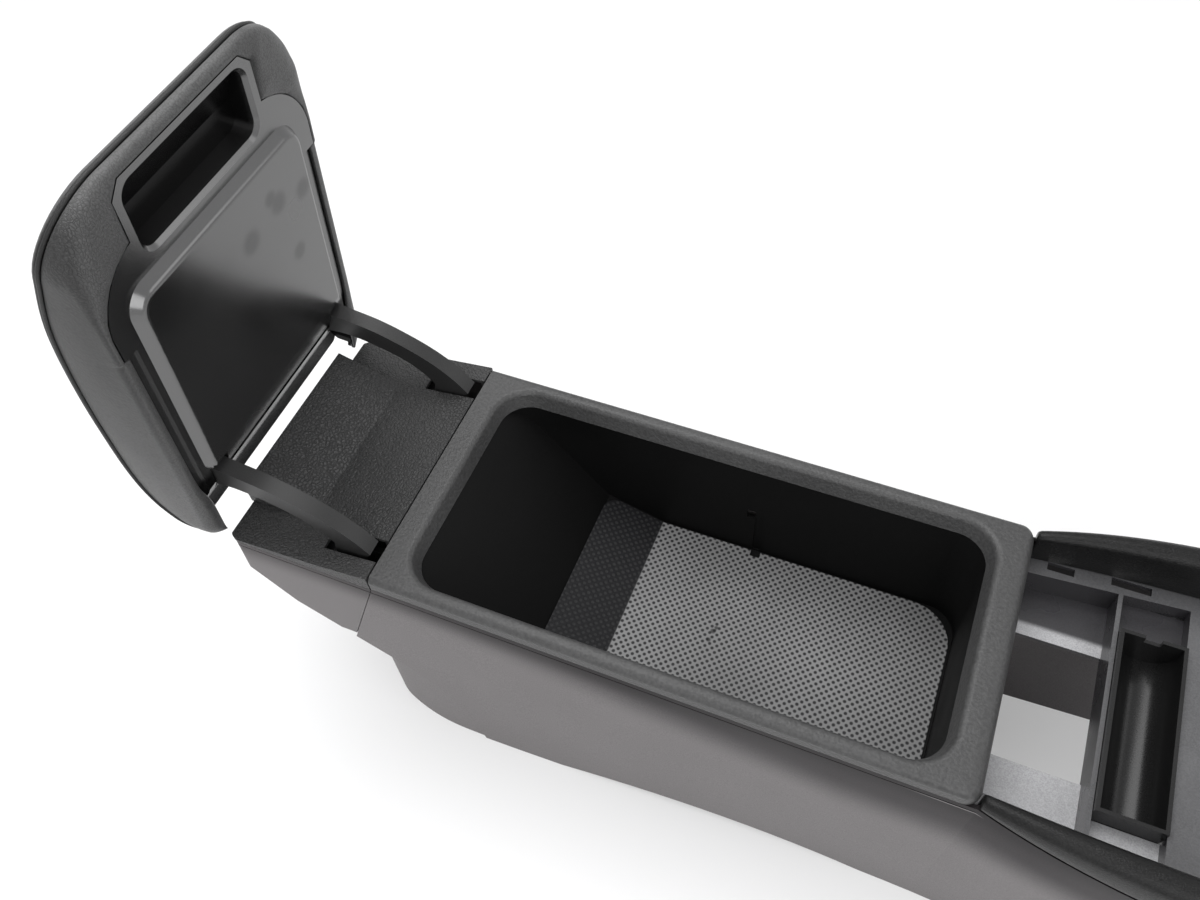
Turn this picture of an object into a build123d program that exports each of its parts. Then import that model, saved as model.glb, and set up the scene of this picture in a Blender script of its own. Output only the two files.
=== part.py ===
from build123d import *
import os
from math import cos, radians, sin

# Car tunnel console with a hinged armrest lid, modelled with the lid standing open.
# Millimetres. +X points to the front of the car, +Y to its left side, +Z up.
# The origin is the centre of the four floor bolts, on the floor.
# Lengths along the console are measured forward from the seam behind the bin frame,
# heights from the top of the bin frame, and the lid is drawn closed and then turned open.

# Floor bolts
BOLT_SPACING_X = 300
BOLT_SPACING_Y = 160
BOLT_HOLE_R = 3.5
BOLT_REAR_FROM_SEAM = 97
TAB_WIDTH = 24
TAB_REACH = 13
TAB_THICK = 3

# Fits
SEAM_GAP = 0.6
SEAT_GAP = 0.3
SHAFT_CLEARANCE = 0.05
SCREW_CLEARANCE = 0.2

# Bin frame: the rolled surround of the bin opening
RIM_HEIGHT = 235
RIM_HALF = 100
RIM_LENGTH = 413
FRAME_DEPTH = 13
FRAME_WALL = 3
FRAME_EDGE_R = 5
FRAME_NOSE_R = 10
OPENING_REAR = 18
FRONT_RIM = 21
OPENING_HALF = 90
OPENING_R = 28
OPENING_ROLL_R = 5
COLLAR_LEAN = 5

# Storage bin
BIN_WALL = 2.5
BIN_DEPTH = 122
BIN_FLOOR_START = 147
RAMP_START = 99
RAMP_RISE = 15
BIN_FLANGE = 7
CLIP_HOLE_X = 219
CLIP_HOLE_DEPTH = 71
CLIP_HOLE_WIDTH = 7
CLIP_HOLE_HEIGHT = 10
GROOVE_WIDTH = 6
GROOVE_DEPTH = 1
PAD_INSET = 62
PAD_WIDTH = 16
PAD_HEIGHT = 12
PAD_DROP = 30

# Bin mat
MAT_THICK = 2
MAT_MARGIN = 2
MAT_FRONT_R = 32
MAT_REAR_R = 12
MAT_NOTCH_WIDTH = 8
MAT_NOTCH_DEPTH = 5

# Side panels
PANEL_WALL = 3
PANEL_FOOT_REAR = 102
PANEL_FOOT_WAIST = 93
PANEL_FOOT_FRONT = 102
PANEL_TOP_FRONT = 121
FRONT_LENGTH = 227
ARCH_START = 125
ARCH_END = 372
ARCH_RISE = 10
SEAM_LEAN = 38
SEAM_DROP = 112
FOOT_TOE_X = 56
TOE = ((-4, -131), (19, -148), (40, -180))
BEAD_DROP = 5
BEAD_GROOVE = 1

# Rear end: hinge cover, rear shell and rear lower cover
REAR_LENGTH = 117
COVER_WALL = 3
CREASE_X = 55
CREASE_DROP = 11
LIP_RISE = 9
LIP_REACH = 3
FOOT_SEAT = 2
BLOCK_HALF = 66
BAND_DROP = 12
PARTING_DROP = 14
SLOT_LENGTH = 44
SLOT_INNER = 67.5
SLOT_OUTER = 85.5
SHELL_WALL = 3
SHELL_EDGE_R = 9
SHELL_END_DROP = 56
SHELL_BELLY = (-88, -92)
SHELL_FLOOR_X = -52
FOOT_PLAN = ((-48, 50), (-19, 91), (36, 100.5))
FOOT_TOP_R = 12
FOOT_WALL = 3

# Hinge
HINGE_BACK = 84
HINGE_DROP = 31
OPEN_ANGLE = 85
SHAFT_R = 4
SHAFT_HALF = 90
BUSH_R = 6.5
BUSH_FLANGE_R = 9
CLIP_R = 8
CLIP_THICK = 1.5
HUB_R = 13
ARM_INNER = 70
ARM_WIDTH = 12
CHEEK_OUTER = 66
CHEEK_WALL = 4
CHEEK_R = 12
BRACKET_PLATE = 3
BRACKET_TOP_DROP = 34
BRACKET_FOOT_DROP = 84

# Lid, in its closed place
LID_FLANGE = 10
LID_HALF = 106
LID_FRONT = 235
LID_REAR = 74
LID_FRONT_R = 46
LID_REAR_R = 20
CROWN_HEIGHT = 67
NOSE_HEIGHT = 15
TAIL_HEIGHT = 10
CROWN = ((190, 43), (131, 61), (45, CROWN_HEIGHT), (-35, 59))
PAD_THICK = 4
PIPING_THICK = 3
PIPING_PROUD = 0.8
BAND_WALL = 4
BASE_WALL = 3
SKIRT_INNER = 92
PANEL_THICK = 2.5
PANEL_HALF = 91
PANEL_NOTCH_X = 131
PANEL_WIDE_HALF = 101.5
PANEL_WIDE_END = 150
PANEL_CORNER_X = 191
PANEL_CORNER_HALF = 64
PANEL_FRONT = 228
PANEL_FRONT_CUT = 9
STRIP_HALF = 98
STRIP_RECESS = 2.2
PLATEAU_REAR = -14
PLATEAU_FRONT = 166
PLATEAU_HALF = 86
PLATEAU_PROUD = 7
PLATEAU_DRAFT = 5
PLATEAU_R = 18
PLATEAU_EDGE_R = 4
POCKET_REAR = 175
POCKET_FRONT = 221
POCKET_HALF = 56
POCKET_DEPTH = 16
POCKET_FLAT = 20
POCKET_SHALLOW = 6
POCKET_R = 9
POCKET_FLARE = 2.5
SCOOP_START = 6
SCOOP = ((-18, 9), (-42, 20))
SCOOP_END_HEIGHT = 42
FOOT_PLATE = 4
FOOT_LENGTH = 62
FOOT_BACK = 27
NECK_BACK = 4
ARM_SLOT_BACK = 32
ARM_SCREW_R = 2.2
ARM_SCREW_HEAD_R = 4

# Front carrier, cross trough and padded rails
CARRIER_WALL = 3
LEDGE_DROP = 30
SHELF_DROP = 52
SHELF_INNER = 46
WEB_REAR = 80
WEB_FRONT = 98
TROUGH_AHEAD = 87
TROUGH_R = 21
TROUGH_WALL = 2.5
TROUGH_NEAR = -70
TROUGH_FAR = 58
TROUGH_DROP = 36
TROUGH_TOP_DROP = 25
END_PLATE_DROP = 42
SHELF_CUT = 14
WELL_AHEAD = 125
WELL_LENGTH = 86
WELL_HALF = 62
WELL_R = 20
WELL_COLLAR = 14
LEDGE_SLOTS = ((15, 18), (57, 26), (147, 26))
RAIL_CREST_REAR = -2
RAIL_CREST_FRONT = 13
RAIL_WIDTH_REAR = 8
RAIL_WIDTH_FRONT = 20

# Screws
SCREW_R = 1.9
SCREW_HEAD_R = 4
SCREW_HEAD = 2.5
BOSS_R = 4
FRAME_SCREW_INSET = 42
FRAME_SCREW_HALF = 92.5

SEAM_X = -BOLT_SPACING_X / 2 - BOLT_REAR_FROM_SEAM
HINGE_X = SEAM_X - HINGE_BACK
HINGE_Z = RIM_HEIGHT - HINGE_DROP
HINGE_AXIS = Axis((HINGE_X, 0, HINGE_Z), (0, 1, 0))
OPENING_FRONT = RIM_LENGTH - FRONT_RIM
CONSOLE_LENGTH = RIM_LENGTH + FRONT_LENGTH
BIN_HALF = OPENING_HALF - COLLAR_LEAN + 1
BIN_REAR = OPENING_REAR + COLLAR_LEAN - 1
BIN_FRONT = OPENING_FRONT - COLLAR_LEAN + 1
SPAN = 4 * RIM_HALF
TROUGH_X = RIM_LENGTH + TROUGH_AHEAD
TROUGH_REACH = TROUGH_R + SEAT_GAP + CARRIER_WALL / 2
WELL_REAR = RIM_LENGTH + WELL_AHEAD
WELL_FRONT = WELL_REAR + WELL_LENGTH
FRONT_SHARES = (0.06, 0.14, 0.25, 0.4, 0.6, 0.8, 1)


def ahead(length):
    """X of a point this far forward of the seam."""
    return SEAM_X + length


def over(height):
    """Z of a point this far above the top of the bin frame."""
    return RIM_HEIGHT + height


def spot(length, height):
    """A point in the middle plane, from the seam and the top of the bin frame."""
    return (ahead(length), 0, over(height))


def polar(radius, angle):
    """A point about the hinge axis in the middle plane, angle in degrees up from +X."""
    return (HINGE_X + radius * cos(radians(angle)), 0, HINGE_Z + radius * sin(radians(angle)))


def outline(points):
    """A face in the middle plane, from points given as length and height."""
    return make_face(Polyline([spot(*p) for p in points], close=True))


def across(face, half):
    """A middle-plane face made as wide as the console, half to each side."""
    return extrude(face, amount=half, dir=(0, 1, 0), both=True)


def between(face, inner, outer):
    """A middle-plane face made into a slab on the left side, from inner to outer."""
    return Pos(0, inner, 0) * extrude(face, amount=outer - inner, dir=(0, 1, 0))


def block(x0, x1, y0, y1, z0, z1):
    """A box from its two corners: lengths from the seam, Y, and heights over the rim."""
    size = Box(x1 - x0, y1 - y0, z1 - z0)
    return Pos(ahead((x0 + x1) / 2), (y0 + y1) / 2, over((z0 + z1) / 2)) * size


def post(length, y, z0, z1, radius):
    """An upright cylinder, from height z0 to z1 over the rim."""
    return Pos(ahead(length), y, over((z0 + z1) / 2)) * Cylinder(radius, z1 - z0)


def pin(y0, y1, radius):
    """A cylinder on the hinge axis from y0 to y1."""
    return Pos(HINGE_X, (y0 + y1) / 2, HINGE_Z) * Rot(90, 0, 0) * Cylinder(radius, y1 - y0)


def both_sides(part):
    """A left-hand piece and its mirror image on the right."""
    return [part, mirror(part, about=Plane.XZ)]


def plan(x0, x1, half, rear_r, front_r, height):
    """A rounded rectangle in plan, with its own radii at the rear and front corners."""
    sheet = Pos(ahead((x0 + x1) / 2), 0, over(height)) * Rectangle(x1 - x0, 2 * half)
    sheet = fillet(sheet.vertices().group_by(Axis.X)[0], rear_r)
    return fillet(sheet.vertices().group_by(Axis.X)[-1], front_r)


def opening(grow, height):
    """Plan of the bin opening, grown all round."""
    return plan(OPENING_REAR - grow, OPENING_FRONT + grow, OPENING_HALF + grow,
                OPENING_R + grow, OPENING_R + grow, height)


def spread(inset):
    """Lengths of three places along the bin: one at each end, set in from the opening, and one midway."""
    return (OPENING_REAR + inset, (OPENING_REAR + OPENING_FRONT) / 2, OPENING_FRONT - inset)


def screw_places():
    """Lengths and sides of the screws that hold the bin frame on the bin."""
    return [(x, side * FRAME_SCREW_HALF) for x in spread(FRAME_SCREW_INSET) for side in (-1, 1)]


def top_frame():
    """Rolled frame round the bin opening, a U section open below."""
    skin = block(SEAM_GAP, RIM_LENGTH, -RIM_HALF, RIM_HALF, -FRAME_DEPTH, 0)
    top_edges = skin.edges().group_by(Axis.Z)[-1]
    skin = fillet(top_edges.filter_by(Axis.X), FRAME_EDGE_R)
    skin = fillet(skin.edges().filter_by(Axis.Y).group_by(Axis.Z)[-1].sort_by(Axis.X)[-1], FRAME_NOSE_R)
    hole = loft([opening(0, 0), opening(-COLLAR_LEAN, -FRAME_DEPTH)])
    skin -= hole
    skin = fillet(skin.faces().sort_by(Axis.Z)[-1].inner_wires()[0].edges(), OPENING_ROLL_R)
    inner = RIM_HALF - FRAME_WALL
    hollow = block(SEAM_GAP + FRAME_WALL, RIM_LENGTH - FRAME_WALL, -inner, inner,
                   -FRAME_DEPTH, -FRAME_NOSE_R + FRAME_EDGE_R)
    collar = loft([opening(FRAME_WALL, 0), opening(FRAME_WALL - COLLAR_LEAN, -FRAME_DEPTH)])
    skin -= hollow - collar
    for x, y in screw_places():
        skin += post(x, y, -FRAME_DEPTH, -FRAME_EDGE_R, BOSS_R)
        skin -= post(x, y, -FRAME_DEPTH, -FRAME_EDGE_R - 1, SCREW_R + SCREW_CLEARANCE)
    return skin


def bin_profile():
    """Side profile of the space inside the bin: sloped rear wall, ramp and flat floor."""
    return outline([(BIN_REAR, -FRAME_DEPTH), (RAMP_START, RAMP_RISE - BIN_DEPTH),
                    (BIN_FLOOR_START, -BIN_DEPTH), (BIN_FRONT, -BIN_DEPTH), (BIN_FRONT, -FRAME_DEPTH)])


def bin_volume(grow):
    """The bin's inside, grown all round by a wall."""
    side = across(offset(bin_profile(), grow, kind=Kind.INTERSECTION), BIN_HALF + grow)
    corner = OPENING_R - COLLAR_LEAN + grow
    sheet = plan(BIN_REAR - grow, BIN_FRONT + grow, BIN_HALF + grow, corner, corner, -2 * BIN_DEPTH)
    return side & extrude(sheet, amount=2 * BIN_DEPTH - FRAME_DEPTH)


def storage_bin():
    """Deep bin with a top flange, divider clip holes, guide grooves and side pads."""
    shell = bin_volume(BIN_WALL)
    grow = BIN_FLANGE + BIN_WALL
    corner = OPENING_R + BIN_WALL
    rim = plan(BIN_REAR - grow, BIN_FRONT + grow, BIN_HALF + grow, corner, corner, -FRAME_DEPTH)
    shell += extrude(rim, amount=-BIN_WALL)
    for x in spread(PAD_INSET):
        for side in (-1, 1):
            y0 = side * (BIN_HALF + BIN_WALL)
            y1 = side * (BIN_HALF + grow)
            shell += block(x - PAD_WIDTH / 2, x + PAD_WIDTH / 2, min(y0, y1), max(y0, y1),
                           -PAD_DROP - PAD_HEIGHT, -PAD_DROP)
    shell -= bin_volume(0)
    reach = BIN_HALF + BIN_WALL + 1
    shell -= block(CLIP_HOLE_X - CLIP_HOLE_WIDTH / 2, CLIP_HOLE_X + CLIP_HOLE_WIDTH / 2, -reach, reach,
                   -CLIP_HOLE_DEPTH - CLIP_HOLE_HEIGHT / 2, -CLIP_HOLE_DEPTH + CLIP_HOLE_HEIGHT / 2)
    groove = BIN_HALF + GROOVE_DEPTH
    shell -= block(CLIP_HOLE_X + CLIP_HOLE_WIDTH / 2, CLIP_HOLE_X + CLIP_HOLE_WIDTH / 2 + GROOVE_WIDTH,
                   -groove, groove, MAT_THICK - BIN_DEPTH, -CLIP_HOLE_DEPTH)
    for x, y in screw_places():
        shell -= post(x, y, -FRAME_DEPTH - BIN_WALL, -FRAME_DEPTH, SCREW_R + SCREW_CLEARANCE)
    return shell


def bin_mat():
    """Rubber mat on the bin floor and up its ramp, notched at the divider grooves."""
    front = BIN_FRONT - MAT_MARGIN
    half = BIN_HALF - MAT_MARGIN
    low = -BIN_DEPTH
    ramp = RAMP_RISE - BIN_DEPTH
    sheet = across(outline([(RAMP_START, ramp), (BIN_FLOOR_START, low), (front, low), (front, low + MAT_THICK),
                            (BIN_FLOOR_START, low + MAT_THICK), (RAMP_START, ramp + MAT_THICK)]), half)
    sheet &= extrude(plan(RAMP_START, front, half, MAT_REAR_R, MAT_FRONT_R, low), amount=BIN_DEPTH)
    x0 = CLIP_HOLE_X + CLIP_HOLE_WIDTH / 2
    for side in (-1, 1):
        y0 = side * (half - MAT_NOTCH_DEPTH)
        y1 = side * (half + 1)
        sheet -= block(x0, x0 + MAT_NOTCH_WIDTH, min(y0, y1), max(y0, y1), low, low + MAT_THICK)
    return sheet


def frame_screws():
    """Screws up through the bin flange into the frame's bosses."""
    seat = -FRAME_DEPTH - BIN_WALL
    return Part() + [post(x, y, seat - SCREW_HEAD, seat, SCREW_HEAD_R)
                     + post(x, y, seat, -FRAME_EDGE_R - 2, SCREW_R) for x, y in screw_places()]


def rear_edge(gap):
    """The seam and the swept toe that bound the side panel at the rear, moved forward by a gap."""
    seam = Line(spot(gap, -PARTING_DROP), spot(gap - SEAM_LEAN, -SEAM_DROP))
    toe = Spline([spot(gap - SEAM_LEAN, -SEAM_DROP)] + [spot(gap + x, z) for x, z in TOE]
                 + [spot(gap + FOOT_TOE_X, -RIM_HEIGHT)])
    return [seam, toe]


def panel_section(length, top_half, top_height, foot_half):
    """Cross-section of the left side panel at one place along the console."""
    corners = [(top_half, top_height), (foot_half, -RIM_HEIGHT),
               (foot_half - PANEL_WALL, -RIM_HEIGHT), (top_half - PANEL_WALL, top_height)]
    return make_face(Polyline([(ahead(length), y, over(z)) for y, z in corners], close=True))


def panel_top(length):
    """Half width and height of the side panel's top edge in front of the bin frame."""
    share = (length - RIM_LENGTH) / FRONT_LENGTH
    bow = 1 - (1 - share) ** 3
    return RIM_HALF + (PANEL_TOP_FRONT - RIM_HALF) * bow, -FRAME_DEPTH - SEAT_GAP - 6.7 * bow


def side_panel():
    """Left side panel: slight waist, swept rear edge, arched foot, bead line and two bolted floor tabs."""
    top = -FRAME_DEPTH - SEAT_GAP
    rear = loft([panel_section(-SEAM_LEAN, RIM_HALF, top, PANEL_FOOT_REAR),
                 panel_section(FOOT_TOE_X, RIM_HALF, top, PANEL_FOOT_REAR),
                 panel_section(RIM_LENGTH * 0.75, RIM_HALF, top, PANEL_FOOT_WAIST),
                 panel_section(RIM_LENGTH, RIM_HALF, top, PANEL_FOOT_WAIST)])
    sections = [panel_section(RIM_LENGTH, RIM_HALF, top, PANEL_FOOT_WAIST)]
    for share in FRONT_SHARES:
        length = RIM_LENGTH + FRONT_LENGTH * share
        foot = PANEL_FOOT_WAIST + (PANEL_FOOT_FRONT - PANEL_FOOT_WAIST) * share
        sections.append(panel_section(length, *panel_top(length), foot))
    arch = ThreePointArc(spot(ARCH_START, -RIM_HEIGHT),
                         spot((ARCH_START + ARCH_END) / 2, ARCH_RISE - RIM_HEIGHT), spot(ARCH_END, -RIM_HEIGHT))
    keep = make_face(rear_edge(SEAM_GAP) + [
        Line(spot(FOOT_TOE_X + SEAM_GAP, -RIM_HEIGHT), spot(ARCH_START, -RIM_HEIGHT)),
        arch,
        Polyline(spot(ARCH_END, -RIM_HEIGHT), spot(CONSOLE_LENGTH, -RIM_HEIGHT),
                 spot(CONSOLE_LENGTH, 0), spot(SEAM_GAP, 0), spot(SEAM_GAP, -PARTING_DROP))])
    panel = (rear + loft(sections)) & across(keep, SPAN)
    panel -= block(-SEAM_LEAN, RIM_LENGTH, RIM_HALF - BEAD_GROOVE, RIM_HALF + BEAD_GROOVE,
                   top - BEAD_DROP - BEAD_GROOVE, top - BEAD_DROP)
    reach = PANEL_WALL / 2
    for x, foot in ((-BOLT_SPACING_X / 2, PANEL_FOOT_REAR - 1), (BOLT_SPACING_X / 2, PANEL_FOOT_WAIST)):
        y0 = BOLT_SPACING_Y / 2 - TAB_REACH
        y1 = foot - reach
        panel += Pos(x, (y0 + y1) / 2, TAB_THICK / 2) * Box(TAB_WIDTH, y1 - y0, TAB_THICK)
        panel -= Pos(x, BOLT_SPACING_Y / 2, TAB_THICK / 2) * Cylinder(BOLT_HOLE_R, 2 * TAB_THICK)
    return panel


def cover_top(depth):
    """Profile of the hinge cover's middle block, from a dip up to its rear lip."""
    return [(-SEAM_GAP, -depth), (-CREASE_X, -CREASE_DROP - depth), (depth - REAR_LENGTH, LIP_RISE - depth)]


def hinge_cover():
    """Grained rear cover: a dipped block between two side bands, with slots for the hinge arms."""
    rear = -PARTING_DROP
    wall = COVER_WALL
    lip = -REAR_LENGTH - LIP_REACH
    middle = across(outline(cover_top(0) + [(lip, LIP_RISE - 6), (lip, rear), (-SEAM_GAP, rear)]), BLOCK_HALF)
    slope = [(-SEAM_GAP, 0), (-SLOT_LENGTH, -BAND_DROP / 2), (-REAR_LENGTH, -BAND_DROP)]
    bands = across(outline(slope + [(-REAR_LENGTH, rear), (-SEAM_GAP, rear)]), RIM_HALF)
    front = -SEAM_GAP - wall
    end = wall - REAR_LENGTH
    hollow = outline(cover_top(wall)[1:2] + [(end, LIP_RISE - 2 * wall), (end, rear - 1), (front, rear - 1),
                                             (front, -wall)])
    body = middle + bands - across(hollow, BLOCK_HALF - wall)
    under = outline([(front, -wall), (-SLOT_LENGTH, -BAND_DROP / 2 - wall), (-REAR_LENGTH * 0.8, rear),
                     (front, rear)])
    gutter = between(under, BLOCK_HALF - wall, RIM_HALF - wall)
    slot = block(-SLOT_LENGTH, 1, SLOT_INNER, SLOT_OUTER, -2 * PARTING_DROP, 1)
    for cut in both_sides(gutter) + both_sides(slot):
        body -= cut
    sheet = plan(lip, RIM_LENGTH, RIM_HALF, SHELL_EDGE_R + LIP_REACH, 1, -RIM_HEIGHT)
    return body & extrude(sheet, amount=2 * RIM_HEIGHT)


def shell_solid(wall, front):
    """Rear shell's volume set in by a wall, with its front moved forward and its long edges rounded."""
    low = wall - SEAM_DROP - FOOT_SEAT
    top = -PARTING_DROP - SEAT_GAP
    half = RIM_HALF - wall
    belly = (SHELL_BELLY[0] + 0.7 * wall, SHELL_BELLY[1] + 0.7 * wall)
    end = wall - REAR_LENGTH
    face = outline([(front, top), (end, top), (end - LIP_REACH, wall - SHELL_END_DROP), belly,
                    (SHELL_FLOOR_X, low), (front - SEAM_LEAN - 2 * SEAM_GAP, low)])
    solid = across(face, half)
    rounded = [e for e in solid.edges() if abs(e.center().Y) > half - 1
               and e.center().X < ahead(front - SEAM_LEAN) and e.center().Z < over(top - 1)]
    return fillet(rounded, SHELL_EDGE_R - wall)


def rear_shell():
    """Smooth tub under the hinge cover that the arms swing inside, open to the bin."""
    inner = RIM_HALF - SHELL_WALL
    mouth = block(SHELL_WALL - REAR_LENGTH, SEAM_LEAN, -inner, inner, -PARTING_DROP - 3, 0)
    shell = shell_solid(0, 0) - shell_solid(SHELL_WALL, SEAM_LEAN + 10) - mouth
    line = -FRAME_DEPTH - SEAT_GAP - BEAD_DROP
    groove = block(-2 * REAR_LENGTH, SEAM_LEAN, RIM_HALF - BEAD_GROOVE, RIM_HALF + BEAD_GROOVE,
                   line - BEAD_GROOVE, line)
    for cut in both_sides(groove):
        shell -= cut
    return shell


def foot_solid(wall):
    """Volume of the rear foot set in by a wall, with its top edge rounded."""
    end = 3 * FOOT_TOE_X
    height = RIM_HEIGHT - SEAM_DROP - FOOT_SEAT - SEAT_GAP

    def at(length, y):
        return (ahead(length), y, 0)

    rear, bend, side = [at(*p) for p in FOOT_PLAN]
    corner = TangentArc(rear, bend, tangent=(0, 1, 0))
    flank = TangentArc(bend, side, tangent=corner % 1)
    rest = Polyline(side, at(end, FOOT_PLAN[-1][1]), at(end, 0), at(FOOT_PLAN[0][0], 0), rear)
    left = make_face([corner, flank, rest])
    sheet = left + mirror(left, about=Plane.XZ)
    if wall:
        sheet = offset(sheet, -wall)
    solid = extrude(sheet, amount=height - wall, dir=(0, 0, 1))
    return fillet(solid.edges().group_by(Axis.Z)[-1], FOOT_TOP_R - wall)


def rear_lower_cover():
    """Rounded skirt round the rear foot, closed by the swept toe of the side panels."""
    end = 4 * FOOT_TOE_X
    below = -RIM_HEIGHT - FOOT_WALL
    rest = Polyline(spot(FOOT_TOE_X, -RIM_HEIGHT), spot(FOOT_TOE_X, below), spot(end, below), spot(end, 0),
                    spot(0, 0), spot(0, -PARTING_DROP))
    clear = across(make_face(rear_edge(0) + [rest]), SPAN)
    return (foot_solid(0) - clear) - (foot_solid(FOOT_WALL) - clear)


def hinge_bracket():
    """Steel bracket on the bin's sloped rear wall, with two cheeks that hold the hinge shaft."""
    slope = (RAMP_START - BIN_REAR) / (BIN_DEPTH - RAMP_RISE - FRAME_DEPTH)
    foot = BIN_WALL * (1 + slope ** 2) ** 0.5

    def wall_x(drop):
        return BIN_REAR + (drop - FRAME_DEPTH) * slope - foot

    top = wall_x(BRACKET_TOP_DROP)
    low = wall_x(BRACKET_FOOT_DROP)
    skin = BRACKET_PLATE * (1 + slope ** 2) ** 0.5
    plate = outline([(top, -BRACKET_TOP_DROP), (low, -BRACKET_FOOT_DROP),
                     (low - skin, -BRACKET_FOOT_DROP), (top - skin, -BRACKET_TOP_DROP)])
    bracket = across(plate, CHEEK_OUTER)
    ear = outline([(-HINGE_BACK, CHEEK_R - HINGE_DROP), (top - skin / 2, -BRACKET_TOP_DROP + 1),
                   (low - skin / 2, -BRACKET_FOOT_DROP + 1), (-HINGE_BACK, -CHEEK_R - HINGE_DROP)])
    cheek = between(ear, CHEEK_OUTER - CHEEK_WALL, CHEEK_OUTER)
    cheek += pin(CHEEK_OUTER - CHEEK_WALL, CHEEK_OUTER, CHEEK_R)
    for side in both_sides(cheek):
        bracket += side
    return bracket - pin(-SHAFT_HALF, SHAFT_HALF, SHAFT_R + SHAFT_CLEARANCE)


def hinge_shaft():
    """Steel hinge shaft right across the console, chamfered at both ends."""
    shaft = pin(-SHAFT_HALF, SHAFT_HALF, SHAFT_R)
    return chamfer(shaft.edges().filter_by(GeomType.CIRCLE), 0.6)


def shaft_clips():
    """Push-on retaining clips at the ends of the shaft."""
    y0 = ARM_INNER + ARM_WIDTH + 1.2
    clip = pin(y0, y0 + CLIP_THICK, CLIP_R) - pin(y0 - 1, y0 + CLIP_THICK + 1, SHAFT_R + SHAFT_CLEARANCE)
    return Part() + both_sides(clip)


def opened(part):
    """Turns a piece of the lid from its closed place to the open one."""
    return part.rotate(HINGE_AXIS, -OPEN_ANGLE)


def hinge_bush():
    """Flanged plastic bush in the left arm's hub, running on the shaft."""
    bush = pin(ARM_INNER, ARM_INNER + ARM_WIDTH, BUSH_R)
    bush += pin(CHEEK_OUTER + 0.5, ARM_INNER, BUSH_FLANGE_R)
    return bush - pin(CHEEK_OUTER, SHAFT_HALF, SHAFT_R + SHAFT_CLEARANCE)


def arm_screw_spots():
    """Places along the arm's foot plate where it is screwed to the lid base."""
    return (8, 28)


def foot_height():
    """Underside of the arm's foot plate over the rim, lid closed."""
    return LID_FLANGE + PANEL_THICK + 1


def hinge_arm():
    """Left gooseneck arm: hub, neck that dips through the slot, bow and foot plate in the lid."""
    low = foot_height()
    high = low + FOOT_PLATE
    outer = Spline([polar(83, -63), polar(75, -36), polar(72.5, -15), polar(75.5, 4), polar(84, 23),
                    spot(-NECK_BACK, high)])
    inner = Spline([spot(-FOOT_BACK, low), polar(64, 20), polar(58, 0), polar(57, -25), polar(58, -52)])
    neck = Polyline(polar(58, -52), polar(47, -70), polar(HUB_R, -12), polar(HUB_R, -150), polar(52, -88),
                    polar(83, -63))
    heel = Polyline(spot(-NECK_BACK, high), spot(-FOOT_BACK, high), spot(-FOOT_BACK, low))
    beam = make_face([outer, heel, inner, neck])
    front = FOOT_LENGTH - FOOT_BACK
    plate = outline([(-FOOT_BACK, low), (front, low), (front, high), (-FOOT_BACK, high)])
    arm = between(beam, ARM_INNER, ARM_INNER + ARM_WIDTH)
    arm += between(plate, ARM_INNER, ARM_INNER + ARM_WIDTH)
    arm += pin(ARM_INNER, ARM_INNER + ARM_WIDTH, HUB_R)
    arm -= pin(ARM_INNER - 1, ARM_INNER + ARM_WIDTH + 1, BUSH_R)
    for x in arm_screw_spots():
        arm -= post(x, ARM_INNER + ARM_WIDTH / 2, low - 1, high + 1, ARM_SCREW_R + SCREW_CLEARANCE)
    return arm


def arm_screws():
    """Screws that hold the arms' foot plates up against the lid base."""
    low = foot_height()
    y = ARM_INNER + ARM_WIDTH / 2
    left = Part() + [post(x, y, low - 1, low, ARM_SCREW_HEAD_R)
                     + post(x, y, low, low + FOOT_PLATE + 8, ARM_SCREW_R) for x in arm_screw_spots()]
    return Part() + both_sides(left)


def crown(drop):
    """Closed lid profile with the crown lowered by an amount."""
    nose = LID_FLANGE + NOSE_HEIGHT - drop
    tail = LID_FLANGE + TAIL_HEIGHT - drop
    top = Spline([spot(LID_FRONT, nose)] + [spot(x, z - drop) for x, z in CROWN] + [spot(-LID_REAR, tail)])
    base = LID_FLANGE - CROWN_HEIGHT
    return make_face([top, Polyline(spot(-LID_REAR, tail), spot(-LID_REAR, base),
                                    spot(LID_FRONT, base), spot(LID_FRONT, nose))])


def lid_volume(drop, inset):
    """The lid's outer volume above its flange, with the crown lowered and the sides set in."""
    sheet = plan(inset - LID_REAR, LID_FRONT - inset, LID_HALF - inset, LID_REAR_R, LID_FRONT_R - inset,
                 LID_FLANGE)
    return across(crown(drop), SPAN) & extrude(sheet, amount=2 * CROWN_HEIGHT)


def scoop_curve(gap):
    """Curve of the hollow at the lid's rear underside, from the plateau up to the lid's rear edge."""
    return Spline([spot(SCOOP_START, LID_FLANGE - PLATEAU_PROUD + gap)] + [spot(x, z + gap) for x, z in SCOOP]
                  + [spot(-LID_REAR - 2, SCOOP_END_HEIGHT + gap)])


def scoop(gap, half):
    """Solid that cuts the hollow at the lid's rear underside."""
    rear = -LID_REAR - 2
    face = make_face([scoop_curve(gap), Polyline(spot(rear, SCOOP_END_HEIGHT + gap), spot(rear, -RIM_HALF),
                                                 spot(SCOOP_START, -RIM_HALF),
                                                 spot(SCOOP_START, LID_FLANGE - PLATEAU_PROUD + gap))])
    return across(face, half)


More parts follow.
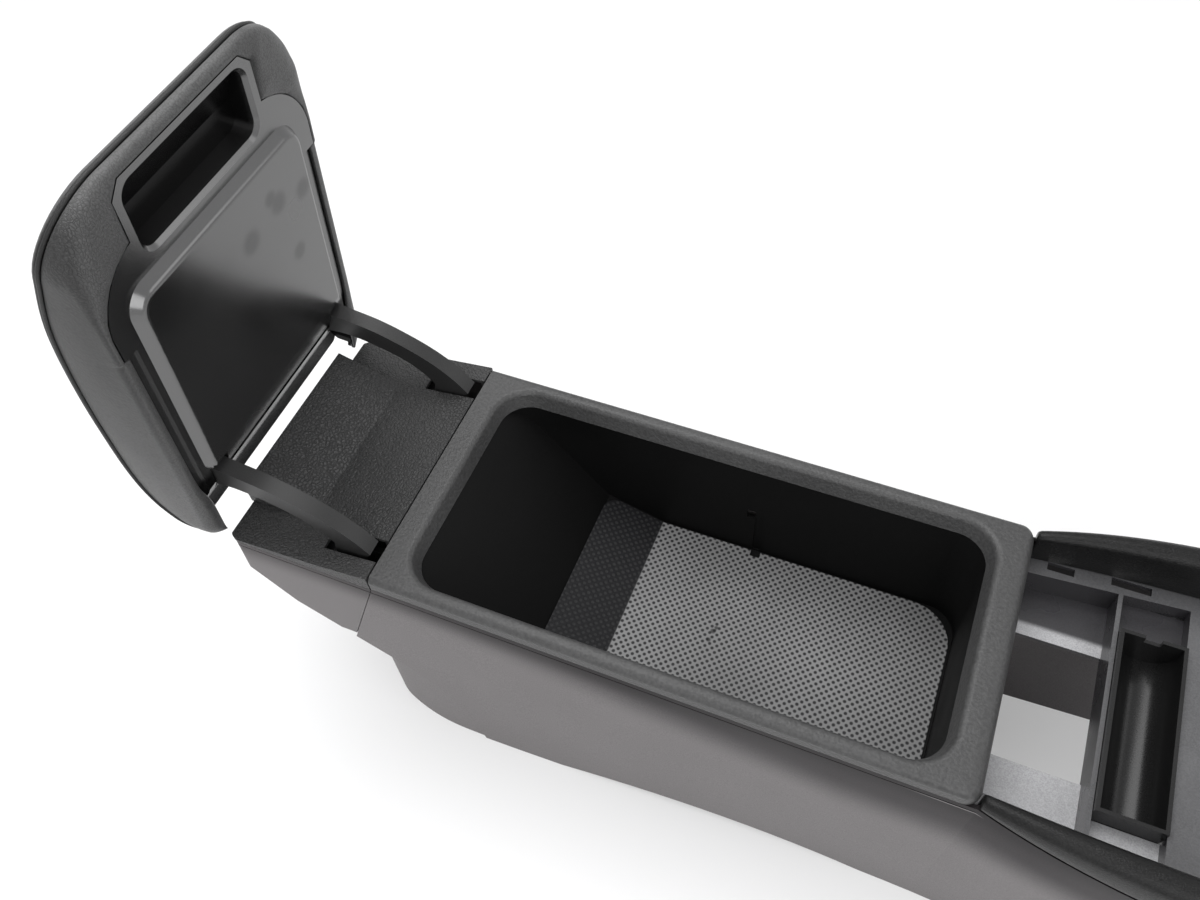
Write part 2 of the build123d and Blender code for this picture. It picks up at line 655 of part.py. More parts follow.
def panel_plan(grow):
    """Plan of the lid's inner panel: stepped out at the side notch, rounded in to a tab round the pocket."""
    def at(length, y):
        return (ahead(length), y, over(LID_FLANGE))

    rear = -LID_REAR + 6
    side = Polyline(at(rear, 0), at(rear, PANEL_HALF), at(PANEL_NOTCH_X, PANEL_HALF),
                    at(PANEL_NOTCH_X, PANEL_WIDE_HALF), at(PANEL_WIDE_END, PANEL_WIDE_HALF))
    bend = ThreePointArc(at(PANEL_WIDE_END, PANEL_WIDE_HALF), at(PANEL_CORNER_X - 12, PANEL_WIDE_HALF - 14),
                         at(PANEL_CORNER_X, PANEL_CORNER_HALF))
    tab = Polyline(at(PANEL_CORNER_X, PANEL_CORNER_HALF), at(PANEL_FRONT - PANEL_FRONT_CUT, PANEL_CORNER_HALF),
                   at(PANEL_FRONT, PANEL_CORNER_HALF - PANEL_FRONT_CUT), at(PANEL_FRONT, 0), at(rear, 0))
    left = make_face([side, bend, tab])
    sheet = left + mirror(left, about=Plane.XZ)
    return offset(sheet, grow, kind=Kind.INTERSECTION) if grow else sheet


def pocket(grow):
    """Finger-pull pocket in the lid's inner panel, deepest at its rear."""
    face = outline([(POCKET_REAR - grow, LID_FLANGE - 1), (POCKET_FRONT + grow, LID_FLANGE - 1),
                    (POCKET_FRONT + grow, LID_FLANGE + POCKET_SHALLOW + grow),
                    (POCKET_REAR + POCKET_FLAT, LID_FLANGE + POCKET_DEPTH + grow),
                    (POCKET_REAR - grow, LID_FLANGE + POCKET_DEPTH + grow)])
    mouth = plan(POCKET_REAR - grow, POCKET_FRONT + grow, POCKET_HALF + grow, POCKET_R, POCKET_R, 0)
    return across(face, POCKET_HALF + grow) & extrude(mouth, amount=2 * CROWN_HEIGHT)


def arm_slot():
    """Clearance round the left arm where it enters the lid."""
    return block(-ARM_SLOT_BACK, 1, ARM_INNER - 1, ARM_INNER + ARM_WIDTH + 1, -LID_FLANGE,
                 foot_height() + FOOT_PLATE)


def lid_pad():
    """Padded top of the armrest lid, a crowned cushion."""
    pad = lid_volume(0, 0) - lid_volume(PAD_THICK, -1)
    return pad - scoop(PANEL_THICK + SEAT_GAP, SKIRT_INNER)


def lid_piping():
    """Sewn piping between the lid's top and its side band."""
    ring = lid_volume(PAD_THICK, -PIPING_PROUD) - lid_volume(PAD_THICK + PIPING_THICK, -2)
    ring -= extrude(plan(BAND_WALL - LID_REAR, LID_FRONT - BAND_WALL, LID_HALF - BAND_WALL, LID_REAR_R,
                         LID_FRONT_R - BAND_WALL, LID_FLANGE - 1), amount=2 * CROWN_HEIGHT)
    return ring - scoop(PANEL_THICK + SEAT_GAP, SKIRT_INNER)


def lid_side_band():
    """Wrapped side band of the lid, turned in under its front corners."""
    drop = PAD_THICK + PIPING_THICK
    body = lid_volume(drop, 0)
    ring = body - extrude(plan(BAND_WALL - LID_REAR, LID_FRONT - BAND_WALL, LID_HALF - BAND_WALL, LID_REAR_R,
                               LID_FRONT_R - BAND_WALL, LID_FLANGE - 1), amount=2 * CROWN_HEIGHT)
    lip = body & block(PANEL_NOTCH_X, LID_FRONT, -SPAN, SPAN, LID_FLANGE, LID_FLANGE + PANEL_THICK)
    lip -= extrude(panel_plan(SEAT_GAP), amount=PANEL_THICK)
    return ring + lip - scoop(PANEL_THICK + SEAT_GAP, SKIRT_INNER)


def lid_base():
    """Moulded shell under the lid's padding, with pads for the arms' foot plates."""
    drop = PAD_THICK + PIPING_THICK + SEAT_GAP
    inset = BAND_WALL + SEAT_GAP
    floor = LID_FLANGE + PANEL_THICK + SEAT_GAP
    shell = lid_volume(drop, inset) - lid_volume(drop + BASE_WALL, inset + BASE_WALL)
    shell &= block(-LID_REAR, LID_FRONT, -SPAN, SPAN, floor, 2 * CROWN_HEIGHT)
    top = foot_height() + FOOT_PLATE
    pads = block(-6, FOOT_LENGTH - FOOT_BACK, ARM_INNER, ARM_INNER + ARM_WIDTH, top, CROWN_HEIGHT)
    pads &= lid_volume(drop + BASE_WALL / 2, inset)
    for x in arm_screw_spots():
        pads -= post(x, ARM_INNER + ARM_WIDTH / 2, top - 1, top + 9, ARM_SCREW_R + SCREW_CLEARANCE)
    for side in both_sides(pads):
        shell += side
    return shell - scoop(PANEL_THICK + SEAT_GAP, SKIRT_INNER)


def plateau(wall):
    """The panel's raised plateau, drafted and rounded, or the hollow behind it set in by a wall."""
    top = LID_FLANGE - PLATEAU_PROUD + wall
    half = PLATEAU_HALF - wall
    low = plan(PLATEAU_REAR + wall, PLATEAU_FRONT - wall, half, PLATEAU_R, PLATEAU_R, LID_FLANGE + wall)
    draft = PLATEAU_DRAFT
    high = plan(PLATEAU_REAR + wall, PLATEAU_FRONT - wall - draft, half - draft, PLATEAU_R - draft,
                PLATEAU_R - draft, top)
    swell = loft([low, high])
    return fillet(swell.edges().group_by(Axis.Z)[0], PLATEAU_EDGE_R)


def lid_inner_panel():
    """Hard inner panel of the lid: raised plateau, recessed strips, finger-pull pocket and rear hollow."""
    wall = PANEL_THICK
    plate = extrude(panel_plan(0), amount=wall)
    plate += pocket(wall) & block(0, LID_FRONT, -SPAN, SPAN, LID_FLANGE, CROWN_HEIGHT)
    strip = block(-LID_REAR, PANEL_NOTCH_X, PANEL_HALF - wall, STRIP_HALF, LID_FLANGE + STRIP_RECESS,
                  LID_FLANGE + STRIP_RECESS + wall)
    for side in both_sides(strip):
        plate += side
    plate += plateau(0)
    plate -= scoop(0, SPAN)
    plate -= plateau(wall) - scoop(wall, SPAN)
    skin = scoop(wall, PANEL_HALF) - scoop(0, SPAN)
    skin &= block(-LID_REAR + 2, SCOOP_START + 1, -PANEL_HALF, PANEL_HALF, -RIM_HALF, 2 * CROWN_HEIGHT)
    plate += skin & lid_volume(2, 1)
    mouth = [plan(POCKET_REAR - flare, POCKET_FRONT + flare, POCKET_HALF + flare, POCKET_R + flare,
                  POCKET_R + flare, LID_FLANGE + POCKET_FLARE - flare) for flare in (POCKET_FLARE, 0)]
    plate -= loft(mouth)
    plate -= pocket(0)
    for cut in both_sides(arm_slot()):
        plate -= cut
    return plate


def carrier_edge(length):
    """Half width of the carrier at its side panel, in front of the bin."""
    return panel_top(max(length, RIM_LENGTH))[0] - PANEL_WALL - 1.6


def web_half(length):
    """Half width of the carrier's upright side webs."""
    return WEB_REAR + (WEB_FRONT - WEB_REAR) * (length - BIN_FRONT) / (CONSOLE_LENGTH - BIN_FRONT)


def shelf_edge(length):
    """Inner edge of the carrier's lower shelves, cut back at a slant beside the bin."""
    return SHELF_INNER + max(0, BIN_FRONT + BIN_WALL + SHELF_CUT - length)


def carrier_sheet(stations, inner, outer, height):
    """A level strip along the left of the carrier, between two edges given as functions."""
    near = [(ahead(x), inner(x), over(height)) for x in stations]
    far = [(ahead(x), outer(x), over(height)) for x in reversed(stations)]
    return make_face(Polyline(near + far, close=True))


def front_carrier():
    """Open moulded frame ahead of the bin: ledges, webs, shelves, cross walls and a round-cornered well."""
    start = BIN_FRONT + BIN_WALL
    end = CONSOLE_LENGTH - CARRIER_WALL
    wall = CARRIER_WALL
    stations = [start] + [RIM_LENGTH + FRONT_LENGTH * share for share in (0,) + FRONT_SHARES[:-1]] + [end]
    ledge = extrude(carrier_sheet(stations, web_half, carrier_edge, -LEDGE_DROP), amount=-wall)
    for gap, length in LEDGE_SLOTS:
        x = RIM_LENGTH + gap
        y = web_half(x) + 6
        ledge -= block(x, x + length, y, y + 6, -LEDGE_DROP - 2 * wall, 0)
    web = extrude(carrier_sheet(stations, web_half, lambda x: web_half(x) + wall, -LEDGE_DROP),
                  amount=LEDGE_DROP - SHELF_DROP - wall)
    shelf_end = TROUGH_X - TROUGH_REACH
    shelf = extrude(carrier_sheet((start, start + SHELF_CUT, shelf_end), shelf_edge, web_half, -SHELF_DROP),
                    amount=-wall)
    side = ledge + web + shelf
    frame = Part() + both_sides(side)
    reach = TROUGH_REACH
    for y0, y1 in ((-web_half(TROUGH_X), TROUGH_NEAR - SEAT_GAP), (TROUGH_FAR + SEAT_GAP, web_half(TROUGH_X))):
        frame += block(TROUGH_X - reach, TROUGH_X + reach, y0, y1, -END_PLATE_DROP - wall, -END_PLATE_DROP)
    deep = -SHELF_DROP - wall
    for x in (start + wall / 2, TROUGH_X - reach, TROUGH_X + reach, end + wall / 2):
        half = web_half(x) + wall / 2
        frame += block(x - wall / 2, x + wall / 2, -half, half, deep, -LEDGE_DROP)
    deck_start = TROUGH_X + reach
    deck = extrude(carrier_sheet((deck_start, end), lambda x: 0, web_half, -LEDGE_DROP), amount=-wall)
    for part in both_sides(deck):
        frame += part
    collar = plan(WELL_REAR - wall, WELL_FRONT + wall, WELL_HALF + wall, WELL_R, WELL_R, -LEDGE_DROP)
    frame += extrude(collar, amount=-WELL_COLLAR)
    frame -= extrude(plan(WELL_REAR, WELL_FRONT, WELL_HALF, WELL_R, WELL_R, 0), amount=-2 * SHELF_DROP)
    return frame


def trough_section(radius):
    """End-on shape of the trough: a half-round bottom under straight sides."""
    rise = TROUGH_DROP - TROUGH_TOP_DROP
    body = Circle(radius) + Pos(0, rise / 2) * Rectangle(2 * radius, rise)
    return body - Pos(0, rise + radius) * Rectangle(2 * radius, 2 * radius)


def cross_trough():
    """Round-bottomed trough across the carrier, with end walls and a notch in the far one."""
    def at(y):
        return Plane(origin=(ahead(TROUGH_X), y, over(-TROUGH_DROP)), x_dir=(1, 0, 0), z_dir=(0, -1, 0))

    length = TROUGH_FAR - TROUGH_NEAR
    trough = extrude(at(TROUGH_FAR) * trough_section(TROUGH_R), amount=length)
    inside = trough_section(TROUGH_R - TROUGH_WALL)
    trough -= extrude(at(TROUGH_FAR - TROUGH_WALL) * inside, amount=length - 2 * TROUGH_WALL)
    notch = TROUGH_R / 4
    return trough - block(TROUGH_X - notch, TROUGH_X + notch, TROUGH_FAR - 2 * TROUGH_WALL, TROUGH_FAR + 1,
                          -TROUGH_TOP_DROP - notch, 0)


def rail_section(length):
    """Cross-section of the left padded rail: a rolled top on a base that stands on the ledge."""
    share = (length - RIM_LENGTH) / FRONT_LENGTH
    bow = 1 - (1 - share) ** 3
    half, seam = panel_top(length)
    crest = RAIL_CREST_REAR + (RAIL_CREST_FRONT - RAIL_CREST_REAR) * bow
    width = RAIL_WIDTH_REAR + (RAIL_WIDTH_FRONT - RAIL_WIDTH_REAR) * bow
    inner = half - width
    base = SEAT_GAP - LEDGE_DROP
    step = half - PANEL_WALL - 2.5
    low = seam + SEAT_GAP
    shoulder = crest - width / 2

    def at(y, z):
        return (ahead(length), y, over(z))

    roll = ThreePointArc(at(half, shoulder), at(half - width / 2, crest), at(inner, shoulder))
    rest = Polyline(at(inner, shoulder), at(inner, base), at(step, base), at(step, low), at(half, low),
                    at(half, shoulder))
    return make_face([roll, rest])


def front_rail():
    """Left padded rail, growing from the corner of the bin frame."""
    start = SEAM_GAP / FRONT_LENGTH
    return loft([rail_section(RIM_LENGTH + FRONT_LENGTH * share) for share in (start,) + FRONT_SHARES])


def pair(name, left):
    """A left-hand piece and its right-hand twin as two nodes."""
    return {name + "_left": left, name + "_right": mirror(left, about=Plane.XZ)}


nodes = {
    "top_frame": top_frame(),
    "storage_bin": storage_bin(),
    "bin_mat": bin_mat(),
    "frame_screws": frame_screws(),
    "hinge_cover": hinge_cover(),
    "rear_shell": rear_shell(),
    "rear_lower_cover": rear_lower_cover(),
    "hinge_bracket": hinge_bracket(),
    "hinge_shaft": hinge_shaft(),
    "shaft_clips": shaft_clips(),
    "front_carrier": front_carrier(),
    "cross_trough": cross_trough(),
    "hinge_bushes": opened(Part() + both_sides(hinge_bush())),
    "arm_screws": opened(arm_screws()),
    "lid_pad": opened(lid_pad()),
    "lid_piping": opened(lid_piping()),
    "lid_side_band": opened(lid_side_band()),
    "lid_base": opened(lid_base()),
    "lid_inner_panel": opened(lid_inner_panel()),
}
nodes.update(pair("side_panel", side_panel()))
nodes.update(pair("front_rail", front_rail()))
nodes.update(pair("hinge_arm", opened(hinge_arm())))

os.makedirs("parts", exist_ok=True)
for node, solid in nodes.items():
    export_step(solid, f"parts/{node}.step")
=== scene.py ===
import math

import bmesh
import bpy
from mathutils import Matrix, Vector


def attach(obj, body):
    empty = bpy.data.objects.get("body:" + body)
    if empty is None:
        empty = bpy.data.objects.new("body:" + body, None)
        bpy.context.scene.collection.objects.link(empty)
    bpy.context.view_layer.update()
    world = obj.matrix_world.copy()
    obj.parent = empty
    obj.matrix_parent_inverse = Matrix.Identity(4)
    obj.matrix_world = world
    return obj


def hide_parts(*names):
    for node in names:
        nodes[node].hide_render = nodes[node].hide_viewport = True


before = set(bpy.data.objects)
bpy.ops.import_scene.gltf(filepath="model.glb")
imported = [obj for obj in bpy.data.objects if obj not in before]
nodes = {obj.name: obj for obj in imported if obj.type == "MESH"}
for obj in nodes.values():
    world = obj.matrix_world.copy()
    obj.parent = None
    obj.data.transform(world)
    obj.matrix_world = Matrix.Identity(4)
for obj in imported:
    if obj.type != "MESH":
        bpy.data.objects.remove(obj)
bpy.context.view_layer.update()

# Sizes repeated from the part, in millimetres: lengths from the seam behind the bin, heights over the rim.
SEAM_X = -247
RIM_HEIGHT = 235
HINGE_BACK, HINGE_DROP, OPEN_ANGLE = 84, 31, math.radians(85)
LID_FLANGE, LID_HALF, LID_FRONT, LID_REAR = 10, 106, 235, 74
LID_FRONT_R, LID_REAR_R = 46, 20
CROWN = ((-74, 20), (-35, 59), (45, 67), (131, 61), (190, 43), (235, 25))
PAD_THICK, PIPING_THICK, BAND_WALL = 4, 3, 4
SKIRT_INNER = 92
SEAM_BEND = ((150, 101.8), (161.2, 99.8), (171.2, 94.3), (179.3, 87.8), (185.8, 78.2), (191.3, 64.3))
SEAM_CUT = ((219.2, 64.3), (228.3, 55.2))
PANEL_FRONT = SEAM_CUT[-1][0]
RIM_LENGTH, CONSOLE_LENGTH, RIM_HALF = 413, 640, 100
RAIL_BASE, RAIL_STEP = -29.6, 5.5

# The photo's camera: sensor and lens in millimetres, the rest in metres.
SENSOR, LENS = 36, 31.916
EYE = (0.06347, -0.35224, 0.86546)
VIEW_RIGHT, VIEW_DOWN = (0.9239, 0.3794, -0.0505), (0.2809, -0.7619, -0.5836)
VIEW_AHEAD = (-0.2599, 0.5250, -0.8104)

# Light: name, place, what it points at, width and watts.
LIGHTS = (
    ("key", (-0.7, 0.3, 2.2), (-0.1, 0.0, 0.2), 1.8, 46),
    ("fill", (0.7, -1.9, 1.6), (0.0, 0.0, 0.15), 2.0, 34),
    ("front", (1.6, 0.9, 1.5), (0.1, 0.0, 0.2), 1.2, 5),
)
FLOOR_REACH, FLOOR_LEVEL = 8.0, -0.0006


def place(x, y, z):
    """A point of the fixed console in metres, from its length, side and height over the rim."""
    return Vector(((SEAM_X + x) / 1000, y / 1000, (RIM_HEIGHT + z) / 1000))


def lid_place(x, y, z):
    """A point of the open lid in metres, from where it is with the lid closed."""
    back, up = x + HINGE_BACK, z + HINGE_DROP
    turned_x = back * math.cos(OPEN_ANGLE) - up * math.sin(OPEN_ANGLE)
    turned_z = back * math.sin(OPEN_ANGLE) + up * math.cos(OPEN_ANGLE)
    return place(turned_x - HINGE_BACK, y, turned_z - HINGE_DROP)


def smooth_curve(points, steps):
    """Points along a smooth curve through the given ones."""
    pts = [2 * Vector(points[0]) - Vector(points[1])] + [Vector(p) for p in points]
    pts.append(2 * pts[-1] - pts[-2])
    out = []
    for a, b, c, d in zip(pts, pts[1:], pts[2:], pts[3:]):
        for i in range(steps):
            t = i / steps
            out.append(0.5 * (2 * b + (c - a) * t + (2 * a - 5 * b + 4 * c - d) * t * t
                              + (3 * b - a - 3 * c + d) * t * t * t))
    return out + [pts[-2]]


CROWN_LINE = smooth_curve(CROWN, 16)


def crown(x):
    """Height of the closed lid's crown at a length."""
    for a, b in zip(CROWN_LINE, CROWN_LINE[1:]):
        if a.x <= x <= b.x:
            return a.y + (b.y - a.y) * (x - a.x) / (b.x - a.x)
    return CROWN_LINE[0].y if x < 0 else CROWN_LINE[-1].y


def make_object(name, verts, faces):
    """A mesh object from points in metres, smooth-shaded with consistent normals."""
    mesh = bpy.data.meshes.new(name)
    mesh.from_pydata([tuple(v) for v in verts], [], faces)
    bm = bmesh.new()
    bm.from_mesh(mesh)
    bmesh.ops.remove_doubles(bm, verts=bm.verts, dist=0.00001)
    bmesh.ops.recalc_face_normals(bm, faces=bm.faces)
    bm.to_mesh(mesh)
    bm.free()
    for poly in mesh.polygons:
        poly.use_smooth = True
    obj = bpy.data.objects.new(name, mesh)
    bpy.context.scene.collection.objects.link(obj)
    return obj


def grid_faces(rows, columns, close_rows, close_columns):
    """Quads over a grid of points, closed along its rows or columns where asked."""
    faces = []
    for r in range(rows if close_rows else rows - 1):
        for c in range(columns if close_columns else columns - 1):
            r1, c1 = (r + 1) % rows, (c + 1) % columns
            faces.append((r * columns + c, r * columns + c1, r1 * columns + c1, r1 * columns + c))
    return faces


def rounded_plan(x0, x1, half, rear_r, front_r, per_corner=12, per_side=36, per_end=20):
    """Closed plan outline from the middle of the rear edge round over the left side: (x, y, nx, ny)."""
    pts = []

    def run(a, b, n, normal):
        for i in range(n):
            t = i / n
            pts.append((a[0] + (b[0] - a[0]) * t, a[1] + (b[1] - a[1]) * t, *normal))

    def turn(cx, cy, r, start, end, n):
        for i in range(n):
            a = math.radians(start + (end - start) * i / n)
            pts.append((cx + r * math.cos(a), cy + r * math.sin(a), math.cos(a), math.sin(a)))

    run((x0, 0), (x0, half - rear_r), per_end // 2, (-1, 0))
    turn(x0 + rear_r, half - rear_r, rear_r, 180, 90, per_corner)
    run((x0 + rear_r, half), (x1 - front_r, half), per_side, (0, 1))
    turn(x1 - front_r, half - front_r, front_r, 90, 0, per_corner)
    run((x1, half - front_r), (x1, front_r - half), per_end, (1, 0))
    turn(x1 - front_r, front_r - half, front_r, 0, -90, per_corner)
    run((x1 - front_r, -half), (x0 + rear_r, -half), per_side, (0, -1))
    turn(x0 + rear_r, rear_r - half, rear_r, -90, -180, per_corner)
    run((x0, rear_r - half), (x0, 0), per_end // 2, (-1, 0))
    return pts


def build_lid_pad():
    """The lid's cushion: a crowned, slightly swollen top with a rolled edge, closed below."""
    rear = 8 - LID_REAR
    under = [(LID_HALF, -PAD_THICK), (70, -PAD_THICK), (30, -PAD_THICK), (4.5, -PAD_THICK)]
    rolled = [(0.6, -PAD_THICK), (0, -PAD_THICK + 0.8), (0.5, -2.2), (1.5, -1.0), (3, -0.2), (5.5, 0.5)]
    top = [(10, 1.3), (18, 2.0), (32, 2.6), (52, 3.0), (76, 3.1), (98, 3.1), (LID_HALF, 3.1)]
    rings = under + rolled + top
    verts = []
    for inset, rise in rings:
        half = LID_HALF - inset
        outline = rounded_plan(rear + inset, LID_FRONT - inset, half,
                               min(max(LID_REAR_R - inset, 2), half), min(max(LID_FRONT_R - inset, 2), half))
        verts += [lid_place(x, y, crown(x) + rise) for x, y, _, _ in outline]
    return make_object("lid_cushion", verts, grid_faces(len(rings), len(outline), False, True))


def u_path():
    """Plan of the lid's edge from its left rear corner round the front to the right one."""
    outline = rounded_plan(-LID_REAR, LID_FRONT, LID_HALF, LID_REAR_R, LID_FRONT_R, 18, 60, 28)
    return [p for p in outline if not (p[0] < 4 - LID_REAR and abs(p[1]) < SKIRT_INNER)]


def build_lid_piping():
    """Round sewn piping under the cushion's edge."""
    path = u_path()
    verts = []
    sides = 8
    radius = PIPING_THICK / 2
    for x, y, nx, ny in path:
        z = crown(x) - PAD_THICK - radius
        for k in range(sides):
            a = 2 * math.pi * k / sides
            out = radius * math.cos(a) - 0.7
            verts.append(lid_place(x + nx * out, y + ny * out, z + radius * math.sin(a)))
    faces = grid_faces(len(path), sides, False, True)
    faces.append(tuple(range(sides)))
    faces.append(tuple(range(len(verts) - sides, len(verts))))
    return make_object("lid_edge_piping", verts, faces)


def along(points, share):
    """Point at a share of the length of a line of points."""
    steps = [(Vector(b) - Vector(a)).length for a, b in zip(points, points[1:])]
    left = share * sum(steps)
    for a, b, step in zip(points, points[1:], steps):
        if left <= step:
            return Vector(a).lerp(Vector(b), left / step)
        left -= step
    return Vector(points[-1])


def arc(centre, radius, start, end, steps=12):
    """Points along an arc in plan, angles in degrees."""
    angles = [math.radians(start + (end - start) * i / steps) for i in range(steps + 1)]
    return [(centre[0] + radius * math.cos(a), centre[1] + radius * math.sin(a)) for a in angles]


def wrap_pairs():
    """Left half of the lid's edge, each point with the point of the cover's seam that belongs to it."""
    rear = (LID_REAR_R - LID_REAR, LID_HALF - LID_REAR_R)
    front = (LID_FRONT - LID_FRONT_R, LID_HALF - LID_FRONT_R)
    side = LID_HALF
    tail, strip, wide = 92.5, 97.6, 101.8
    stretches = (
        (arc(rear, LID_REAR_R, 162, 90), [(-70, tail), (rear[0], tail)], 10),
        ([(rear[0], side), (-40, side)], [(rear[0], tail), (-40, tail)], 4),
        ([(-40, side), (2, side)], [(-40, tail), (-30, tail + 0.6), (-12, strip - 0.8), (2, strip)], 14),
        ([(2, side), (128, side)], [(2, strip), (128, strip)], 26),
        ([(128, side), (131, side)], [(128, strip), (130, strip), (131, wide)], 4),
        ([(131, side), (150, side)], [(131, wide), (150, wide)], 6),
        ([(150, side), (front[0], side)] + arc(front, LID_FRONT_R, 90, 46), SEAM_BEND, 30),
        (arc(front, LID_FRONT_R, 46, 14), [SEAM_BEND[-1], SEAM_CUT[0]], 16),
        (arc(front, LID_FRONT_R, 14, 0), SEAM_CUT, 10),
        ([(LID_FRONT, front[1]), (LID_FRONT, 0)], [SEAM_CUT[1], (PANEL_FRONT, 0)], 14),
    )
    pairs = []
    for edge, seam, steps in stretches:
        pairs += [(along(edge, i / steps), along(seam, i / steps)) for i in range(steps)]
    return pairs


def wrap_section(x, width):
    """Section of the lid's cover, as distances in from the edge and heights: side, roll, pillow, tuck, back."""
    top = crown(x) - PAD_THICK - PIPING_THICK
    tall = top - LID_FLANGE
    swell = min(max((width - 6) / 20, 0), 1)
    pillow = 3.0 * swell * swell * (3 - 2 * swell)
    reach = min(0.63 * width, 18)
    rise = min(0.72 * tall, 4 + 0.36 * (width - 4.2), 12)
    low = LID_FLANGE - pillow
    skin = 1.0
    outer = [(1.2, top - 0.2), (0.2, top - min(0.9, 0.2 * tall))]
    bulge = 0.022 * tall
    for k in range(1, 8):
        share = k / 8
        outer.append((-bulge * math.sin(math.pi * share), top - 1 + (low + rise - top + 1) * share))
    for k in range(11):
        a = math.radians(9 * k)
        outer.append((reach * (1 - math.cos(a)), low + rise * (1 - math.sin(a))))
    lip = width - 0.6
    for k in range(1, 8):
        share = k / 8
        outer.append((reach + (lip - reach) * share, LID_FLANGE - pillow * math.cos(math.pi / 2 * share) ** 0.8))
    outer += [(lip, LID_FLANGE + 0.1), (width - 0.12, LID_FLANGE + 0.7), (width, LID_FLANGE + 1.9)]
    back = [(max(width - 1.2, 0.8 * width), LID_FLANGE + 1.9)]
    for share in (0.55, 0.2):
        back.append((reach + (lip - reach) * share, LID_FLANGE + skin - pillow * 0.8))
    for k in range(9, 0, -3):
        a = math.radians(9 * k)
        back.append((skin + (reach - skin * 0.5) * (1 - math.cos(a)), low + skin + rise * (1 - math.sin(a))))
    back += [(min(2.5, BAND_WALL), low + rise + 0.3 * max(top - low - rise, 0.1)), (BAND_WALL - 0.5, top - 0.4)]
    return outer + back


def build_lid_band():
    """Soft cover round the lid's side, rolled under its edge and turned in at the front corners to the seam."""
    left = wrap_pairs()
    pairs = left + [(Vector((LID_FRONT, 0)), Vector((PANEL_FRONT, 0)))]
    pairs += [(Vector((e.x, -e.y)), Vector((s.x, -s.y))) for e, s in reversed(left)]
    verts = []
    for edge, seam in pairs:
        inward = seam - edge
        width = inward.length
        inward.normalize()
        section = wrap_section(edge.x, width)
        verts += [lid_place(edge.x + inward.x * u, edge.y + inward.y * u, z) for u, z in section]
    columns = len(section)
    faces = grid_faces(len(pairs), columns, False, True)
    faces.append(tuple(range(columns)))
    faces.append(tuple(range(len(verts) - columns, len(verts))))
    return make_object("lid_side_cover", verts, faces)


def rail_size(length):
    """Half width, lower seam, crest and thickness of the rail at a length."""
    share = (length - RIM_LENGTH) / (CONSOLE_LENGTH - RIM_LENGTH)
    bow = 1 - (1 - share) ** 3
    return RIM_HALF + 21 * bow, -13.3 - 6.7 * bow, -2 + 15 * bow, 8 + 12 * bow


def build_rail(name, side):
    """Padded rail along the front wall: a soft roll with a pulled-in seam at its lower edge."""
    stations = [RIM_LENGTH + 0.8, RIM_LENGTH + 2.5]
    stations += [RIM_LENGTH + 7 + 8 * i for i in range(28)] + [CONSOLE_LENGTH - 0.4]
    verts = []
    for i, length in enumerate(stations):
        half, seam, crest, width = rail_size(length)
        nip = 1.4 if i in (0, len(stations) - 1) else 0
        r = width / 2
        low = seam + 0.6
        shoulder = crest - r
        profile = [(half - 1.6, low), (half - 0.5, low + 0.7), (half + 0.2 - nip * 0.4, low + 2.6)]
        for k in range(1, 4):
            share = k / 4
            profile.append((half + 0.5 * math.sin(math.pi * share) - nip * 0.4,
                            low + 2.6 + (shoulder - low - 2.6) * share))
        for k in range(9):
            a = math.radians(180 * k / 8)
            profile.append((half - r + (r - nip * 0.4) * math.cos(a), shoulder + (r - nip) * math.sin(a)))
        inner = half - width
        step = half - RAIL_STEP
        profile += [(inner + 0.3, (shoulder + RAIL_BASE) / 2), (inner + 0.6, RAIL_BASE + 1),
                    (inner + 1.4, RAIL_BASE), (step - 0.8, RAIL_BASE), (step, RAIL_BASE + 0.8), (step, low)]
        verts += [place(length, side * y, z) for y, z in profile]
    columns = len(profile)
    faces = grid_faces(len(stations), columns, False, True)
    faces.append(tuple(range(columns)))
    faces.append(tuple(range(len(verts) - columns, len(verts))))
    return make_object(name, verts, faces)


def new_material(name):
    """An empty node material with a Principled shader: material, tree, shader."""
    mat = bpy.data.materials.new(name)
    mat.use_nodes = True
    tree = mat.node_tree
    tree.nodes.clear()
    out = tree.nodes.new("ShaderNodeOutputMaterial")
    shader = tree.nodes.new("ShaderNodeBsdfPrincipled")
    tree.links.new(shader.outputs[0], out.inputs[0])
    return mat, tree, shader


def add(tree, kind, **values):
    """A node with some of its inputs or settings set."""
    node = tree.nodes.new(kind)
    for key, value in values.items():
        if key in node.inputs:
            node.inputs[key].default_value = value
        else:
            setattr(node, key, value)
    return node


def object_coords(tree, stretch=(1, 1, 1)):
    """Coordinates in metres on the piece, stretched along its axes."""
    coords = add(tree, "ShaderNodeTexCoord")
    mapping = add(tree, "ShaderNodeMapping")
    mapping.inputs["Scale"].default_value = stretch
    tree.links.new(coords.outputs["Object"], mapping.inputs["Vector"])
    return mapping.outputs["Vector"]


def ramp(tree, source, stops):
    """A colour ramp over a value, from (place, grey or colour) stops."""
    node = add(tree, "ShaderNodeValToRGB")
    elements = node.color_ramp.elements
    while len(elements) < len(stops):
        elements.new(0.5)
    for element, (where, value) in zip(elements, stops):
        element.position = where
        colour = value if isinstance(value, tuple) else (value, value, value)
        element.color = (*colour, 1)
    tree.links.new(source, node.inputs["Fac"])
    return node.outputs["Color"]


